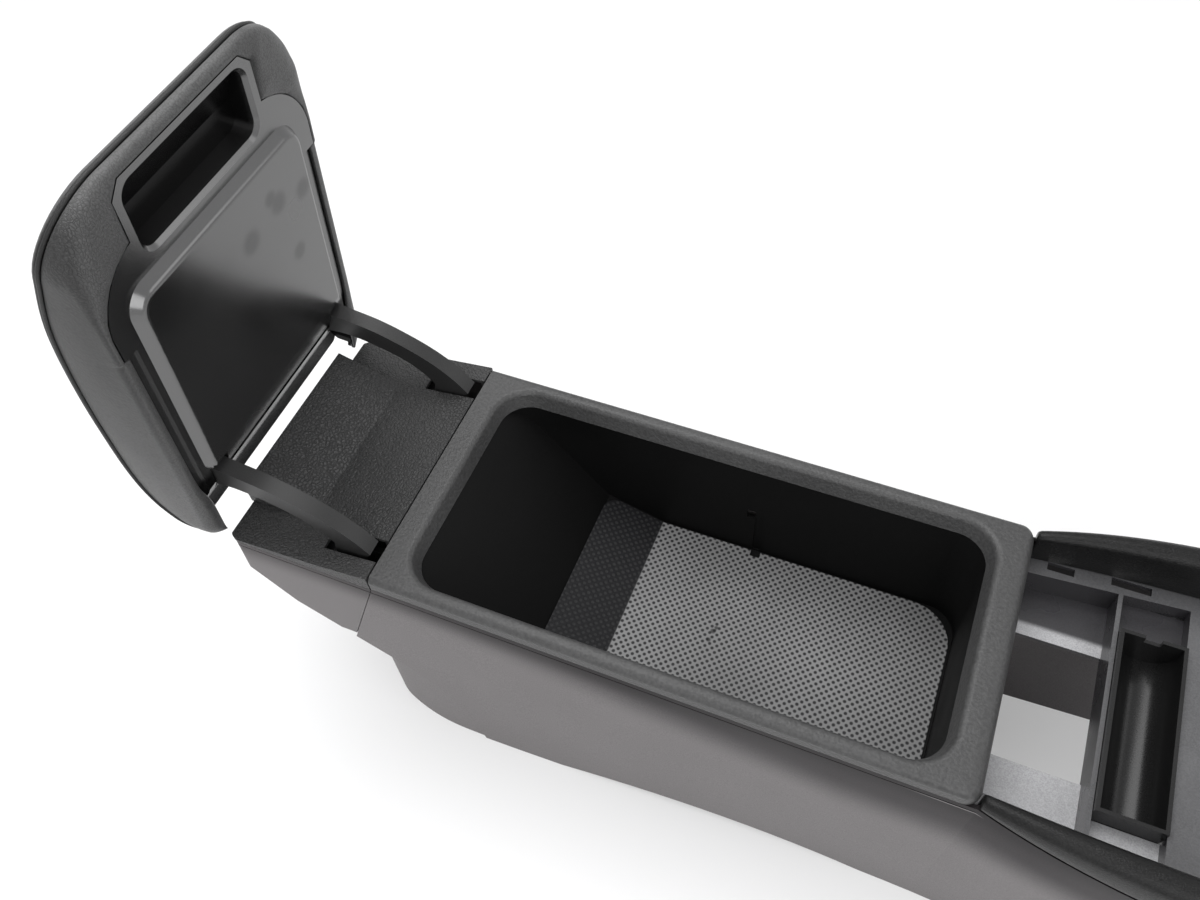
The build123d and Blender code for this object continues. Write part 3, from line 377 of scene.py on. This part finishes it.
def mix(tree, factor, a, b, blend="MIX"):
    """Two colours mixed by a factor; each may be a socket or a constant colour."""
    node = add(tree, "ShaderNodeMix", data_type="RGBA", blend_type=blend)
    for socket, value in ((node.inputs[0], factor), (node.inputs[6], a), (node.inputs[7], b)):
        if isinstance(value, bpy.types.NodeSocket):
            tree.links.new(value, socket)
        elif isinstance(value, tuple):
            socket.default_value = (*value, 1)
        else:
            socket.default_value = value
    return node.outputs[2]


def math_node(tree, operation, a, b=0.0, c=0.0):
    """One arithmetic step; each operand may be a socket or a number."""
    node = add(tree, "ShaderNodeMath", operation=operation)
    for socket, value in zip(node.inputs, (a, b, c)):
        if isinstance(value, bpy.types.NodeSocket):
            tree.links.new(value, socket)
        else:
            socket.default_value = value
    return node.outputs[0]


def bump(tree, shader, height, strength, distance):
    """Bump on a shader from a height."""
    node = add(tree, "ShaderNodeBump", Strength=strength, Distance=distance)
    tree.links.new(height, node.inputs["Height"])
    tree.links.new(node.outputs[0], shader.inputs["Normal"])


def fade(tree, value, low, high):
    """From 0 to 1 as a value goes from low to high."""
    node = add(tree, "ShaderNodeMapRange", interpolation_type="SMOOTHSTEP")
    node.inputs["From Min"].default_value = low
    node.inputs["From Max"].default_value = high
    tree.links.new(value, node.inputs["Value"])
    return node.outputs["Result"]


def lid_coords(tree):
    """Coordinates on the lid in metres as if it were closed, from the seam and the rim."""
    coords = add(tree, "ShaderNodeTexCoord")
    mapping = add(tree, "ShaderNodeMapping")
    back, up = (SEAM_X - HINGE_BACK) / 1000, (RIM_HEIGHT - HINGE_DROP) / 1000
    c, s = math.cos(OPEN_ANGLE), math.sin(OPEN_ANGLE)
    mapping.inputs["Rotation"].default_value = (0, OPEN_ANGLE, 0)
    mapping.inputs["Location"].default_value = (-HINGE_BACK / 1000 - back * c - up * s, 0,
                                                -HINGE_DROP / 1000 + back * s - up * c)
    tree.links.new(coords.outputs["Object"], mapping.inputs["Vector"])
    return mapping.outputs["Vector"]


def near_spots(tree, coords, spots):
    """1 near any of some spots (x, y, z, radius), fading out over the radius."""
    total = None
    for x, y, z, radius in spots:
        far = add(tree, "ShaderNodeVectorMath", operation="DISTANCE")
        far.inputs[1].default_value = (x, y, z)
        tree.links.new(coords, far.inputs[0])
        one = math_node(tree, "SUBTRACT", 1.0, fade(tree, far.outputs["Value"], radius * 0.35, radius))
        total = one if total is None else math_node(tree, "MAXIMUM", total, one)
    return total


def split_xyz(tree, vector):
    """The three parts of a vector."""
    node = add(tree, "ShaderNodeSeparateXYZ")
    tree.links.new(vector, node.inputs[0])
    return node.outputs


def tint(tree, shader, factor, colour):
    """Multiplies a shader's base colour by a colour where a factor is on."""
    socket = shader.inputs["Base Color"]
    tree.links.new(mix(tree, factor, socket.links[0].from_socket, colour, "MULTIPLY"), socket)


def moulded(name, dark, light, rough, grain, depth, drift=9.0, specular=0.3):
    """Moulded plastic: a fine stipple, slow drifts of tone and gloss."""
    mat, tree, shader = new_material(name)
    coords = object_coords(tree)
    fine = add(tree, "ShaderNodeTexNoise", Scale=grain, Detail=2.0, Roughness=0.6)
    slow = add(tree, "ShaderNodeTexNoise", Scale=drift, Detail=3.0)
    tree.links.new(coords, fine.inputs["Vector"])
    tree.links.new(coords, slow.inputs["Vector"])
    base = ramp(tree, slow.outputs["Fac"], ((0.3, dark), (0.7, light)))
    speckle = ramp(tree, fine.outputs["Fac"], ((0.35, 0.82), (0.65, 1.15)))
    tree.links.new(mix(tree, 1.0, base, speckle, "MULTIPLY"), shader.inputs["Base Color"])
    gloss = ramp(tree, slow.outputs["Fac"], ((0.3, rough - 0.05), (0.7, rough + 0.06)))
    tree.links.new(gloss, shader.inputs["Roughness"])
    shader.inputs["Specular IOR Level"].default_value = specular
    bump(tree, shader, fine.outputs["Fac"], 0.6, depth)
    return mat, tree, shader


def grained(name, dark, light, rough, cell, depth, stretch=(1, 1, 1), specular=0.3):
    """Leather grain: raised cells with creases between them, over slow folds of tone."""
    mat, tree, shader = new_material(name)
    coords = object_coords(tree, stretch)
    warp = add(tree, "ShaderNodeTexNoise", Scale=cell * 0.5, Detail=2.0)
    tree.links.new(coords, warp.inputs["Vector"])
    shift = add(tree, "ShaderNodeVectorMath", operation="MULTIPLY_ADD")
    shift.inputs[1].default_value = (1.2 / cell, 1.2 / cell, 1.2 / cell)
    tree.links.new(warp.outputs["Color"], shift.inputs[0])
    tree.links.new(coords, shift.inputs[2])
    cells = add(tree, "ShaderNodeTexVoronoi", feature="DISTANCE_TO_EDGE", Scale=cell)
    tree.links.new(shift.outputs[0], cells.inputs["Vector"])
    slow = add(tree, "ShaderNodeTexNoise", Scale=14.0, Detail=3.0)
    tree.links.new(coords, slow.inputs["Vector"])
    hills = ramp(tree, cells.outputs["Distance"], ((0.0, 0.0), (0.22, 1.0)))
    base = ramp(tree, slow.outputs["Fac"], ((0.3, dark), (0.7, light)))
    crease = ramp(tree, cells.outputs["Distance"], ((0.0, 0.55), (0.12, 1.0)))
    tree.links.new(mix(tree, 1.0, base, crease, "MULTIPLY"), shader.inputs["Base Color"])
    gloss = ramp(tree, slow.outputs["Fac"], ((0.3, rough - 0.06), (0.7, rough + 0.06)))
    tree.links.new(gloss, shader.inputs["Roughness"])
    shader.inputs["Specular IOR Level"].default_value = specular
    bump(tree, shader, hills, 0.55, depth)
    return mat, tree, shader


def dotted_mat():
    """Rubber mat with staggered dimples; its ramp has painted shade, with painted glints on its dots."""
    mat, tree, shader = new_material("mat_rubber_dots")
    coords = object_coords(tree)
    pitch = 0.0058

    def lattice(offset):
        move = add(tree, "ShaderNodeVectorMath", operation="MULTIPLY_ADD")
        move.inputs[1].default_value = (1 / pitch, 1 / pitch, 0)
        move.inputs[2].default_value = (offset, offset, 0)
        tree.links.new(coords, move.inputs[0])
        cell = add(tree, "ShaderNodeVectorMath", operation="FRACTION")
        tree.links.new(move.outputs[0], cell.inputs[0])
        centre = add(tree, "ShaderNodeVectorMath", operation="SUBTRACT")
        centre.inputs[1].default_value = (0.5, 0.5, 0)
        tree.links.new(cell.outputs[0], centre.inputs[0])
        far = add(tree, "ShaderNodeVectorMath", operation="LENGTH")
        tree.links.new(centre.outputs[0], far.inputs[0])
        return far.outputs["Value"]

    near = math_node(tree, "MINIMUM", lattice(0.0), lattice(0.5))
    web = ramp(tree, near, ((0.17, 0.0), (0.27, 1.0)))
    slow = add(tree, "ShaderNodeTexNoise", Scale=11.0, Detail=3.0)
    tree.links.new(coords, slow.inputs["Vector"])
    tone = ramp(tree, slow.outputs["Fac"], ((0.3, 0.19), (0.7, 0.25)))
    flat = mix(tree, web, (0.022, 0.022, 0.023), tone)
    # Painted shade on the ramp, which faces away from the light, with painted glints where its dots are lighter
    # than the web.
    slope_painted_shade_and_glints = mix(tree, web, (0.020, 0.020, 0.021), (0.005, 0.005, 0.006))
    length = split_xyz(tree, coords)[0]
    on_floor = ramp(tree, math_node(tree, "MULTIPLY_ADD", length, 200.0, 20.5), ((0.4, 0.0), (0.6, 1.0)))
    tree.links.new(mix(tree, on_floor, slope_painted_shade_and_glints, flat), shader.inputs["Base Color"])
    crumbs = near_spots(tree, coords, ((-0.0300, 0.0050, 0.115, 0.0030), (-0.0285, 0.0085, 0.115, 0.0022),
                                       (-0.0310, -0.0030, 0.115, 0.0026)))
    tint(tree, shader, crumbs, (0.25, 0.25, 0.25))
    shader.inputs["Roughness"].default_value = 0.62
    shader.inputs["Specular IOR Level"].default_value = 0.25
    bump(tree, shader, web, 0.5, 0.0006)
    return mat


def panel_satin():
    """Smooth warm grey side plastic with painted shade: darker under the bin frame and in a slanted band towards
    the front, with one fine scratch.
    """
    mat, tree, shader = moulded("panel_satin", (0.150, 0.141, 0.142), (0.177, 0.168, 0.169), 0.46, 1400.0, 0.00008,
                                specular=0.1)
    length, side, height = split_xyz(tree, object_coords(tree))
    # Painted shade: the top of the panel is darkened where it turns in under the bin frame.
    tint(tree, shader, fade(tree, height, 0.190, 0.221), (0.42, 0.40, 0.41))
    # Painted shade: a dark band down from the top edge that reaches lower towards the front, held from 90 mm along.
    painted_shade_slant = math_node(tree, "MULTIPLY_ADD", math_node(tree, "MINIMUM", length, 0.09), 0.165, height)
    tint(tree, shader, fade(tree, painted_shade_slant, 0.148, 0.206), (0.20, 0.19, 0.20))
    off_line = math_node(tree, "ABSOLUTE", math_node(tree, "SUBTRACT", height, 0.2145))
    scratch = math_node(tree, "MULTIPLY", fade(tree, off_line, 0.0007, 0.0002), fade(tree, length, 0.118, 0.150))
    scratch = math_node(tree, "MULTIPLY", scratch, fade(tree, side, -0.06, -0.08))
    scratch = math_node(tree, "MULTIPLY", scratch, fade(tree, length, 0.172, 0.166))
    socket = shader.inputs["Base Color"]
    tree.links.new(mix(tree, scratch, socket.links[0].from_socket, (0.24, 0.23, 0.23)), socket)
    return mat


def carrier_satin():
    """Shiny bare plastic with dark upright walls; upward faces get a painted reflection, pale on the low shelves
    and grey on the higher ledges, with a painted shadow on the left shelf's outer part.
    """
    mat, tree, shader = moulded("carrier_satin", 0.90, 1.0, 0.27, 1100.0, 0.00006, drift=24.0, specular=0.5)
    coords = add(tree, "ShaderNodeTexCoord")
    facing = split_xyz(tree, coords.outputs["Normal"])[2]
    _, side, height = split_xyz(tree, coords.outputs["Object"])
    # Painted reflection makes the low shelves pale; a painted shadow darkens the left shelf's outer part.
    shelf_painted_light_and_shadow = mix(tree, fade(tree, side, 0.053, 0.058), (0.40, 0.40, 0.41), (0.030, 0.029, 0.032))
    # Painted reflection makes the higher ledges grey.
    upward_painted_light = mix(tree, fade(tree, height, 0.196, 0.202), shelf_painted_light_and_shadow, (0.085, 0.085, 0.088))
    # Only faces that point up take this painted light; the upright walls keep the dark plastic colour.
    tint(tree, shader, 1.0, mix(tree, fade(tree, facing, 0.6, 0.95), (0.030, 0.029, 0.032), upward_painted_light))
    return mat


def lid_satin():
    """Smooth dark inner panel of the lid, with painted shade inside its pocket and at its rear end, where it is
    also less glossy, and with finger smudges.
    """
    mat, tree, shader = moulded("lid_satin", 0.011, 0.015, 0.22, 1500.0, 0.00004)
    coords = lid_coords(tree)
    length, _, height = split_xyz(tree, coords)
    facing = split_xyz(tree, add(tree, "ShaderNodeTexCoord").outputs["Normal"])[2]
    # Painted shade: the pocket's floor and the walls not facing up, and the lid's rear end, are darkened and lose
    # most of their gloss.
    inside = math_node(tree, "MULTIPLY", fade(tree, length, 0.168, 0.174), fade(tree, height, 0.0115, 0.017))
    dark = math_node(tree, "MULTIPLY", inside, math_node(tree, "SUBTRACT", 1.0, fade(tree, facing, 0.3, 0.8)))
    dark = math_node(tree, "MAXIMUM", dark, fade(tree, length, -0.004, -0.012))
    tint(tree, shader, dark, (0.3, 0.3, 0.3))
    marks = near_spots(tree, coords, ((0.128, 0.046, 0.003, 0.011), (0.119, 0.072, 0.003, 0.010),
                                      (0.123, 0.013, 0.003, 0.012), (0.136, 0.040, 0.003, 0.008),
                                      (0.079, 0.053, 0.003, 0.009)))
    tint(tree, shader, marks, (0.65, 0.65, 0.65))
    gloss = math_node(tree, "MULTIPLY_ADD", marks, -0.3, 0.9)
    tree.links.new(math_node(tree, "MULTIPLY_ADD", dark, -0.85, gloss), shader.inputs["Specular IOR Level"])
    shader.inputs["IOR"].default_value = 1.7
    return mat


def lid_cover_leather():
    """Fine leather of the lid's cover, with painted shade on its sideways-facing sides, more towards the front, and
    a deeper grain at the right front corner.
    """
    mat, tree, shader = grained("lid_leather", 0.070, 0.088, 0.42, 420.0, 0.0003, (1, 1.6, 1))
    coords = lid_coords(tree)
    # Painted shade: faces that point sideways are darkened, more so towards the front.
    facing = split_xyz(tree, add(tree, "ShaderNodeTexCoord").outputs["Normal"])[1]
    sideways_shade = fade(tree, math_node(tree, "ABSOLUTE", facing), 0.35, 0.80)
    ahead = fade(tree, split_xyz(tree, coords)[0], -0.08, 0.14)
    tint(tree, shader, math_node(tree, "MULTIPLY", sideways_shade, ahead), (0.40, 0.40, 0.40))
    drawn = near_spots(tree, coords, ((0.207, -0.080, 0.008, 0.040),))
    relief = shader.inputs["Normal"].links[0].from_node
    tree.links.new(math_node(tree, "MULTIPLY_ADD", drawn, 0.7, 0.3), relief.inputs["Strength"])
    return mat


def metal(name, colour, rough):
    """Plated steel with a faint brushed variation."""
    mat, tree, shader = new_material(name)
    coords = object_coords(tree, (1, 0.15, 1))
    fine = add(tree, "ShaderNodeTexNoise", Scale=900.0, Detail=2.0)
    tree.links.new(coords, fine.inputs["Vector"])
    tree.links.new(ramp(tree, fine.outputs["Fac"], ((0.3, tuple(c * 0.8 for c in colour)), (0.7, colour))),
                   shader.inputs["Base Color"])
    tree.links.new(ramp(tree, fine.outputs["Fac"], ((0.3, rough), (0.7, rough + 0.12))), shader.inputs["Roughness"])
    shader.inputs["Metallic"].default_value = 1.0
    return mat


def dress(name, mat):
    """Gives a CAD node its material."""
    obj = nodes[name]
    obj.data.materials.clear()
    obj.data.materials.append(mat)


frame_plastic = moulded("frame_stipple", 0.046, 0.060, 0.42, 480.0, 0.0008)[0]
panel_plastic = panel_satin()
bin_plastic = moulded("bin_black", 0.0035, 0.0050, 0.58, 1200.0, 0.0001, specular=0.12)[0]
lid_plastic = lid_satin()
carrier_plastic = carrier_satin()
trough_plastic = moulded("trough_gloss", 0.008, 0.012, 0.24, 900.0, 0.00005)[0]
arm_plastic = moulded("arm_satin", 0.020, 0.027, 0.38, 1300.0, 0.00006)[0]
bush_plastic = moulded("bush_pale", 0.45, 0.55, 0.45, 900.0, 0.00005)[0]
cover_grain = grained("cover_grain", 0.034, 0.046, 0.44, 380.0, 0.0008)[0]
lid_leather = lid_cover_leather()
rail_leather = grained("rail_leather", 0.009, 0.013, 0.30, 800.0, 0.00015, (0.6, 1, 1), 0.15)[0]
piping_leather = grained("piping_leather", 0.010, 0.014, 0.45, 700.0, 0.0002)[0]
bracket_paint = moulded("bracket_paint", 0.014, 0.020, 0.40, 900.0, 0.00005)[0]
plated = metal("plated_steel", (0.56, 0.56, 0.54), 0.28)
mat_rubber = dotted_mat()

LOOKS = {
    "top_frame": frame_plastic, "storage_bin": bin_plastic, "bin_mat": mat_rubber, "frame_screws": plated,
    "hinge_cover": cover_grain, "rear_shell": panel_plastic, "rear_lower_cover": panel_plastic,
    "hinge_bracket": bracket_paint, "hinge_shaft": plated, "shaft_clips": plated, "front_carrier": carrier_plastic,
    "cross_trough": trough_plastic, "side_panel_left": panel_plastic, "side_panel_right": panel_plastic,
    "front_rail_left": rail_leather, "front_rail_right": rail_leather, "hinge_bushes": bush_plastic,
    "arm_screws": plated, "lid_pad": lid_leather, "lid_piping": piping_leather, "lid_side_band": lid_leather,
    "lid_base": bin_plastic, "lid_inner_panel": lid_plastic, "hinge_arm_left": arm_plastic,
    "hinge_arm_right": arm_plastic,
}
for node_name, look in LOOKS.items():
    dress(node_name, look)

SOFT = (
    (build_lid_pad(), "lid", "lid_pad", "lid_cover", lid_leather, 0.8),
    (build_lid_piping(), "lid", "lid_piping", "piping_cover", piping_leather, None),
    (build_lid_band(), "lid", "lid_side_band", "lid_cover", lid_leather, 0.9),
    (build_rail("rail_pad_left", 1), "console", "front_rail_left", "rail_cover", rail_leather, 0.9),
    (build_rail("rail_pad_right", -1), "console", "front_rail_right", "rail_cover", rail_leather, 0.9),
)
for piece, body, node_name, slot_name, look, fill in SOFT:
    piece.data.materials.append(look)
    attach(piece, body)
    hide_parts(node_name)


def background_rays(tree):
    """1 for the rays that show the background: the camera's, and those in reflections and glass."""
    rays = add(tree, "ShaderNodeLightPath")
    seen = math_node(tree, "MAXIMUM", rays.outputs["Is Camera Ray"], rays.outputs["Is Transmission Ray"])
    return math_node(tree, "MAXIMUM", seen, rays.outputs["Is Glossy Ray"])


def build_stage():
    """Plain pale floor, soft lights, pale surroundings and the photo's camera."""
    floor_mat, tree, shader = new_material("floor_pale")
    noise = add(tree, "ShaderNodeTexNoise", Scale=3.0)
    pale = ramp(tree, noise.outputs["Fac"], ((0.3, 0.86), (0.7, 0.88)))
    seen = background_rays(tree)
    distance = add(tree, "ShaderNodeVectorMath", operation="LENGTH")
    tree.links.new(object_coords(tree), distance.inputs[0])
    far = fade(tree, distance.outputs["Value"], 0.8, 2.4)
    shown = mix(tree, far, (0.58, 0.58, 0.58), (0.0, 0.0, 0.0))
    tree.links.new(mix(tree, seen, pale, shown), shader.inputs["Base Color"])
    shader.inputs["Emission Color"].default_value = (1, 1, 1, 1)
    glow = math_node(tree, "MULTIPLY_ADD", far, 0.60, 0.33)
    tree.links.new(math_node(tree, "MULTIPLY", seen, glow), shader.inputs["Emission Strength"])
    shader.inputs["Roughness"].default_value = 0.6
    corners = [(x * FLOOR_REACH, y * FLOOR_REACH, FLOOR_LEVEL) for x, y in ((-1, -1), (1, -1), (1, 1), (-1, 1))]
    floor = make_object("floor", corners, [(0, 1, 2, 3)])
    floor.data.materials.append(floor_mat)

    for name, spot, target, width, power in LIGHTS:
        lamp = bpy.data.lights.new(name, "AREA")
        lamp.energy = power
        lamp.size = width
        holder = bpy.data.objects.new(name, lamp)
        holder.location = spot
        holder.rotation_euler = (Vector(target) - Vector(spot)).to_track_quat("-Z", "Y").to_euler()
        bpy.context.scene.collection.objects.link(holder)

    world = bpy.data.worlds.new("studio")
    world.use_nodes = True
    tree = world.node_tree
    back = tree.nodes["Background"]
    tree.links.new(mix(tree, background_rays(tree), (0.46, 0.46, 0.47), (0.93, 0.93, 0.94)), back.inputs["Color"])
    bpy.context.scene.world = world

    camera = bpy.data.cameras.new("photo_camera")
    camera.sensor_width = SENSOR
    camera.lens = LENS
    holder = bpy.data.objects.new("photo_camera", camera)
    basis = Matrix((Vector(VIEW_RIGHT), -Vector(VIEW_DOWN), -Vector(VIEW_AHEAD))).transposed().to_4x4()
    holder.matrix_world = Matrix.Translation(EYE) @ basis
    bpy.context.scene.collection.objects.link(holder)
    bpy.context.scene.camera = holder
    bpy.context.scene.view_settings.view_transform = "Standard"


build_stage()
